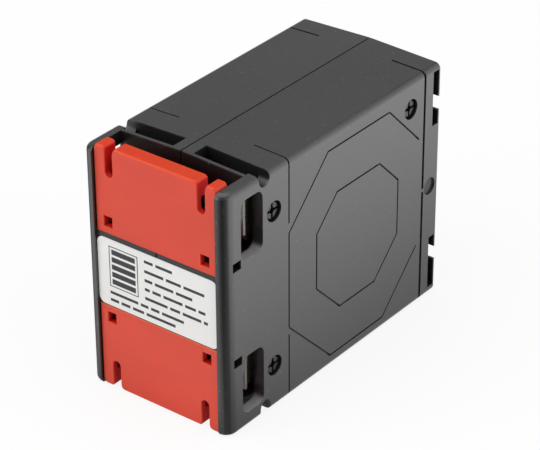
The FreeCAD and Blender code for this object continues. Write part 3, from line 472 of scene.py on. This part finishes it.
class FinishSettings(bpy.types.PropertyGroup):
    """Colours and grain of the outside."""

    case_colour: bpy.props.FloatVectorProperty(
        name="Case colour", description="Colour of the black moulded case",
        default=(0.014, 0.014, 0.0145), subtype="COLOR", size=3, min=0.0, max=1.0,
    )
    cover_colour: bpy.props.FloatVectorProperty(
        name="Cover colour", description="Colour of the two terminal covers",
        default=(0.63, 0.064, 0.035), subtype="COLOR", size=3, min=0.0, max=1.0,
    )
    film_colour: bpy.props.FloatVectorProperty(
        name="Label colour", description="Colour of the label film",
        default=(0.73, 0.73, 0.715), subtype="COLOR", size=3, min=0.0, max=1.0,
    )
    grain_size: bpy.props.FloatProperty(
        name="Case grain", description="Size of the grain in the case plastic",
        default=0.25 * MM, min=0.05 * MM, max=2 * MM, unit="LENGTH", precision=5,
    )
    grain_depth: bpy.props.FloatProperty(
        name="Grain strength", description="How strongly the grain shows",
        default=0.35, min=0.0, max=1.0, subtype="FACTOR",
    )


class PrintSettings(bpy.types.PropertyGroup):
    """Sizes of the marks printed on the label."""

    line_height: bpy.props.FloatProperty(
        name="Line height", description="Height of a printed line",
        default=0.72 * MM, min=0.1 * MM, max=2 * MM, unit="LENGTH", precision=5,
    )
    ink_depth: bpy.props.FloatProperty(
        name="Ink thickness", description="How far the print stands off the film",
        default=0.015 * MM, min=0.001 * MM, max=0.1 * MM, unit="LENGTH", precision=6,
    )


# One operator for each group of like pieces


class DressCase(bpy.types.Operator):
    """Give both case halves their grained black plastic"""

    bl_idname = "transformer.dress_case"
    bl_label = "Case halves"

    def execute(self, context):
        cover_with(case_finish(context.scene.transformer_finish), *CASE_HALVES)
        return {"FINISHED"}


class DressCovers(bpy.types.Operator):
    """Give both terminal covers their red plastic"""

    bl_idname = "transformer.dress_covers"
    bl_label = "Terminal covers"

    def execute(self, context):
        cover_with(cover_finish(context.scene.transformer_finish), *COVERS)
        return {"FINISHED"}


class PrintLabel(bpy.types.Operator):
    """Give the label its film and print plain bars and a ruled block on it"""

    bl_idname = "transformer.print_label"
    bl_label = "Label"

    # All in millimetres. Each row: its height, where it starts, and the length of each bar in turn.
    ROWS = (
        (37.3, -3.5, (2.5, 4.7)),
        (34.8, -3.5, (5.4, 4.2, 5.8)),
        (32.5, -3.5, (2.2, 5.2, 4.6)),
        (30.2, -3.5, (1.4, 2.4, 5.4, 3.0, 1.9)),
        (27.9, -3.5, (6.4, 2.8, 5.2, 1.1)),
        (25.7, -13.7, (8.1, 2.2, 2.4, 6.2)),
        (23.8, -13.7, (2.4, 2.6, 3.2, 8.3)),
    )
    BAR_GAP = 0.75
    # The block: its left, right, low and high side, how thick its outline is, how far in from the
    # outside its stripes stay, how many there are, and the space between two of them.
    BLOCK = (-13.7, -5.4, 27.3, 37.7)
    OUTLINE = 0.22
    MARGIN = 0.75
    STRIPES = 5
    STRIPE_GAP = 0.6

    def add_bar(self, left, right, low, high):
        """One flat bar on the front of the film, given in millimetres."""
        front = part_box("rating_label")[0][1]
        start_clean()
        bpy.ops.mesh.primitive_plane_add(
            size=1.0,
            location=((left + right) / 2 * MM, front, (low + high) / 2 * MM),
            rotation=(math.pi / 2, 0.0, 0.0),
        )
        bar = bpy.context.object
        bar.scale = ((right - left) * MM, (high - low) * MM, 1.0)
        bpy.ops.object.transform_apply(location=True, rotation=True, scale=True)
        return bar

    def execute(self, context):
        sizes = context.scene.transformer_print
        cover_with(film_finish(context.scene.transformer_finish), "rating_label")
        tall = sizes.line_height / MM
        sides = []
        for height, start, lengths in self.ROWS:
            for length in lengths:
                sides.append((start, start + length, height - tall / 2, height + tall / 2))
                start += length + self.BAR_GAP
        left, right, low, high = self.BLOCK
        line, margin = self.OUTLINE, self.MARGIN
        sides += [
            (left, right, low, low + line),
            (left, right, high - line, high),
            (left, left + line, low + line, high - line),
            (right - line, right, low + line, high - line),
        ]
        pitch = (high - low - 2 * margin + self.STRIPE_GAP) / self.STRIPES
        for turn in range(self.STRIPES):
            foot = low + margin + turn * pitch
            sides.append((left + margin, right - margin, foot, foot + pitch - self.STRIPE_GAP))
        join_all([self.add_bar(*four) for four in sides])
        outwards = {"value": (0.0, -sizes.ink_depth, 0.0)}
        bpy.ops.object.mode_set(mode="EDIT")
        bpy.ops.mesh.select_all(action="SELECT")
        bpy.ops.mesh.extrude_region_move(TRANSFORM_OT_translate=outwards)
        bpy.ops.mesh.select_all(action="SELECT")
        bpy.ops.mesh.normals_make_consistent(inside=False)
        bpy.ops.object.mode_set(mode="OBJECT")
        take_name("label_print", ink_finish(), "case")
        return {"FINISHED"}


class DressTerminals(bpy.types.Operator):
    """Give the terminal plates, clamps, screws and leads their metals and sleeves"""

    bl_idname = "transformer.dress_terminals"
    bl_label = "Terminals"

    def execute(self, context):
        rolled_upright, rolled_across = (1.0, 1.0, 0.08), (0.2, 1.0, 1.0)
        # The brass and the plated steel are set darker than bare metal, as painted shade for the
        # dim chambers inside the case.
        bright, dull = (0.50, 0.44, 0.30), (0.24, 0.20, 0.13)
        brass = metal_finish("terminal_brass", bright, dull, rolled_upright, 0.34)
        bright, dull = (0.60, 0.60, 0.58), (0.34, 0.34, 0.33)
        zinc = metal_finish("plated_steel", bright, dull, rolled_across, 0.32)
        cover_with(brass, *(f"terminal_plate_{end}" for end in TERMINALS))
        cover_with(zinc, *(f"clamp_plate_{end}" for end in TERMINALS))
        cover_with(zinc, *(f"terminal_screw_{end}" for end in TERMINALS))
        cover_with(sleeve_finish(), *(f"lead_{end}" for end in TERMINALS))
        return {"FINISHED"}


class DressWindings(bpy.types.Operator):
    """Give the core and its windings their strip steel, tape and varnished copper"""

    bl_idname = "transformer.dress_windings"
    bl_label = "Core and windings"

    def execute(self, context):
        cover_with(strip_core_finish(), "ring_core")
        colour, shade = (0.60, 0.48, 0.30), (0.34, 0.25, 0.14)
        cover_with(wrapped_finish("core_paper", colour, shade, 0.7), "core_wrap")
        colour, shade = (0.82, 0.70, 0.24), (0.55, 0.44, 0.12)
        cover_with(wrapped_finish("winding_tape", colour, shade, 0.32), "winding_tape")
        colour, shade = (0.50, 0.17, 0.06), (0.10, 0.03, 0.012)
        fine = wound_finish("fine_turns", colour, shade, 1.0 * MM, 0.15 * MM, 0.5)
        cover_with(fine, "secondary_winding")
        colour, shade = (0.58, 0.22, 0.08), (0.12, 0.04, 0.015)
        heavy = wound_finish("heavy_turns", colour, shade, 2.4 * MM, 0.3 * MM, 0.7)
        cover_with(heavy, "primary_winding")
        return {"FINISHED"}


class SetStage(bpy.types.Operator):
    """Add the pale floor, the soft lights and the camera"""

    bl_idname = "transformer.set_stage"
    bl_label = "Studio"

    # The camera: its place, the directions of its picture's right side, low side and far side, and
    # its lens on a sensor of full width, both in millimetres.
    EYE = (0.301089, -0.384205, 0.315906)
    RIGHT = (0.78971, 0.61346, -0.00484)
    DOWN = (0.30713, -0.40218, -0.86251)
    AHEAD = (-0.53106, 0.67965, -0.50602)
    LENS = 164.336
    SENSOR = 36.0
    FLOOR_RADIUS = 3.0
    # The floor lies a little lower than the underside of the case, so that the two never flicker.
    FLOOR_HEIGHT = -0.02 * MM
    # How bright the air is to all but the eye and the gloss.
    AMBIENT = 0.3
    # The lamps point here. Each one has a name, a place, a width, a height and its watts.
    AIM = (0.0, 0.0, 0.03)
    LAMPS = (
        ("key_softbox", (-0.45, -0.85, 0.60), 1.5, 1.1, 8.8),
        ("side_softbox", (0.95, 0.10, 0.45), 1.2, 0.8, 3.9),
        ("top_softbox", (0.0, 0.05, 1.0), 1.3, 1.3, 6.4),
        ("edge_softbox", (0.55, 0.72, 0.56), 0.9, 0.5, 1.0),
    )

    def execute(self, context):
        self.add_floor()
        self.add_camera(context)
        for lamp in self.LAMPS:
            self.add_lamp(*lamp)
        self.light_world(context)
        context.scene.view_settings.view_transform = "Standard"
        return {"FINISHED"}

    def add_floor(self):
        """The floor: mostly even white to the eye, matt to the light, and to the gloss of the part
            a glowing card that is paler behind it and before its label, with a painted shadow near
            it."""
        start_clean()
        bpy.ops.mesh.primitive_circle_add(
            vertices=96, radius=self.FLOOR_RADIUS, fill_type="NGON",
            location=(0.0, 0.0, self.FLOOR_HEIGHT),
        )
        floor = bpy.context.object
        floor.name = "studio_floor"
        paint = Finish("pale_floor")
        mottle = paint.grain(4, 2).fade(0.3, 0.7)
        colour = paint.blend(mottle, rgba((0.86, 0.86, 0.86)), rgba((0.89, 0.89, 0.89)))
        matte = paint.node("ShaderNodeBsdfDiffuse", inputs={"Color": colour})
        seen = paint.ray("Camera").upper_of(paint.ray("Transmission"))
        mirrored = paint.ray("Glossy")
        behind = (paint.across * 0.3 + paint.deep).fade(-0.09, 0.01)
        # Painted shadow: the glow of the card dims towards the part from its right, as shade near
        # the part would.
        shadowed_beside = paint.across.fade(0.0, 0.11) * 0.88 + 0.27
        before = paint.deep.fade(-0.035, -0.055) * paint.across.fade(0.03, 0.01)
        card = behind * shadowed_beside * 1.3 + before * 0.75 + 0.08
        light = {"Color": rgba(WHITE), "Strength": seen + mirrored * card}
        glow = paint.node("ShaderNodeEmission", inputs=light)
        # The even white takes more of the floor far off, where the lamps light less of it.
        far = (paint.across * paint.across + paint.deep * paint.deep).fade(0.1, 1.5)
        share = seen * (far * 0.14 + 0.86) + mirrored
        mixed = paint.node("ShaderNodeMixShader", inputs={0: share, 1: matte, 2: glow})
        floor.data.materials.append(paint.show(mixed))

    def add_camera(self, context):
        start_clean()
        bpy.ops.object.camera_add(location=self.EYE)
        camera = context.object
        camera.name = "studio_camera"
        axes = Matrix((self.RIGHT, [-part for part in self.DOWN], [-part for part in self.AHEAD]))
        turned = axes.transposed().to_quaternion().to_matrix().to_4x4()
        camera.matrix_world = Matrix.Translation(Vector(self.EYE)) @ turned
        camera.data.sensor_width = self.SENSOR
        camera.data.lens = self.LENS
        camera.data.clip_start = 0.01
        context.scene.camera = camera

    def add_lamp(self, name, place, wide, high, watts):
        start_clean()
        bpy.ops.object.light_add(type="AREA", location=place)
        lamp = bpy.context.object
        lamp.name = name
        lamp.data.shape = "RECTANGLE"
        lamp.data.size = wide
        lamp.data.size_y = high
        lamp.data.energy = watts
        beam = Vector(self.AIM) - Vector(place)
        lamp.rotation_euler = beam.to_track_quat("-Z", "Y").to_euler()

    def light_world(self, context):
        """Air that is white to the eye, gives some light from all sides, and to the gloss of the
        part is a grey room with a low pale wall behind it to the right."""
        world = bpy.data.worlds.new("studio_air")
        context.scene.world = world
        world.use_nodes = True
        air = Board(world.node_tree)
        seen = air.ray("Camera").upper_of(air.ray("Transmission"))
        mirrored = air.ray("Glossy")
        across, deep, up = air.axes_of(air.node("ShaderNodeTexCoord", output="Generated"))
        wall = (across * 0.6 + deep * 0.8).fade(0.1, 0.9) * up.fade(0.5, 0.0)
        room = wall * 0.9 + 0.3
        ambient = (1.0 - seen.upper_of(mirrored)) * self.AMBIENT
        light = {"Color": rgba(WHITE), "Strength": seen + mirrored * room + ambient}
        glow = air.node("ShaderNodeBackground", inputs=light)
        air.node("ShaderNodeOutputWorld", inputs={"Surface": glow})


OPERATORS = (DressCase, DressCovers, PrintLabel, DressTerminals, DressWindings, SetStage)


class TransformerPanel(bpy.types.Panel):
    """Lists the transformer's pieces and their settings in the 3D view's sidebar"""

    bl_idname = "VIEW3D_PT_transformer"
    bl_label = "Current transformer"
    bl_space_type = "VIEW_3D"
    bl_region_type = "UI"
    bl_category = "Transformer"

    def draw(self, context):
        layout = self.layout
        for settings in (context.scene.transformer_finish, context.scene.transformer_print):
            for name in settings.__annotations__:
                layout.prop(settings, name)
        for operator in OPERATORS:
            layout.operator(operator.bl_idname)


CLASSES = (FinishSettings, PrintSettings) + OPERATORS + (TransformerPanel,)


def register():
    for one in CLASSES:
        bpy.utils.register_class(one)
    bpy.types.Scene.transformer_finish = bpy.props.PointerProperty(type=FinishSettings)
    bpy.types.Scene.transformer_print = bpy.props.PointerProperty(type=PrintSettings)


def unregister():
    del bpy.types.Scene.transformer_print
    del bpy.types.Scene.transformer_finish
    for one in reversed(CLASSES):
        bpy.utils.unregister_class(one)


def main():
    register()
    bpy.ops.transformer.dress_case()
    bpy.ops.transformer.dress_covers()
    bpy.ops.transformer.print_label()
    bpy.ops.transformer.dress_terminals()
    bpy.ops.transformer.dress_windings()
    bpy.ops.transformer.set_stage()


if __name__ == "__main__":
    main()
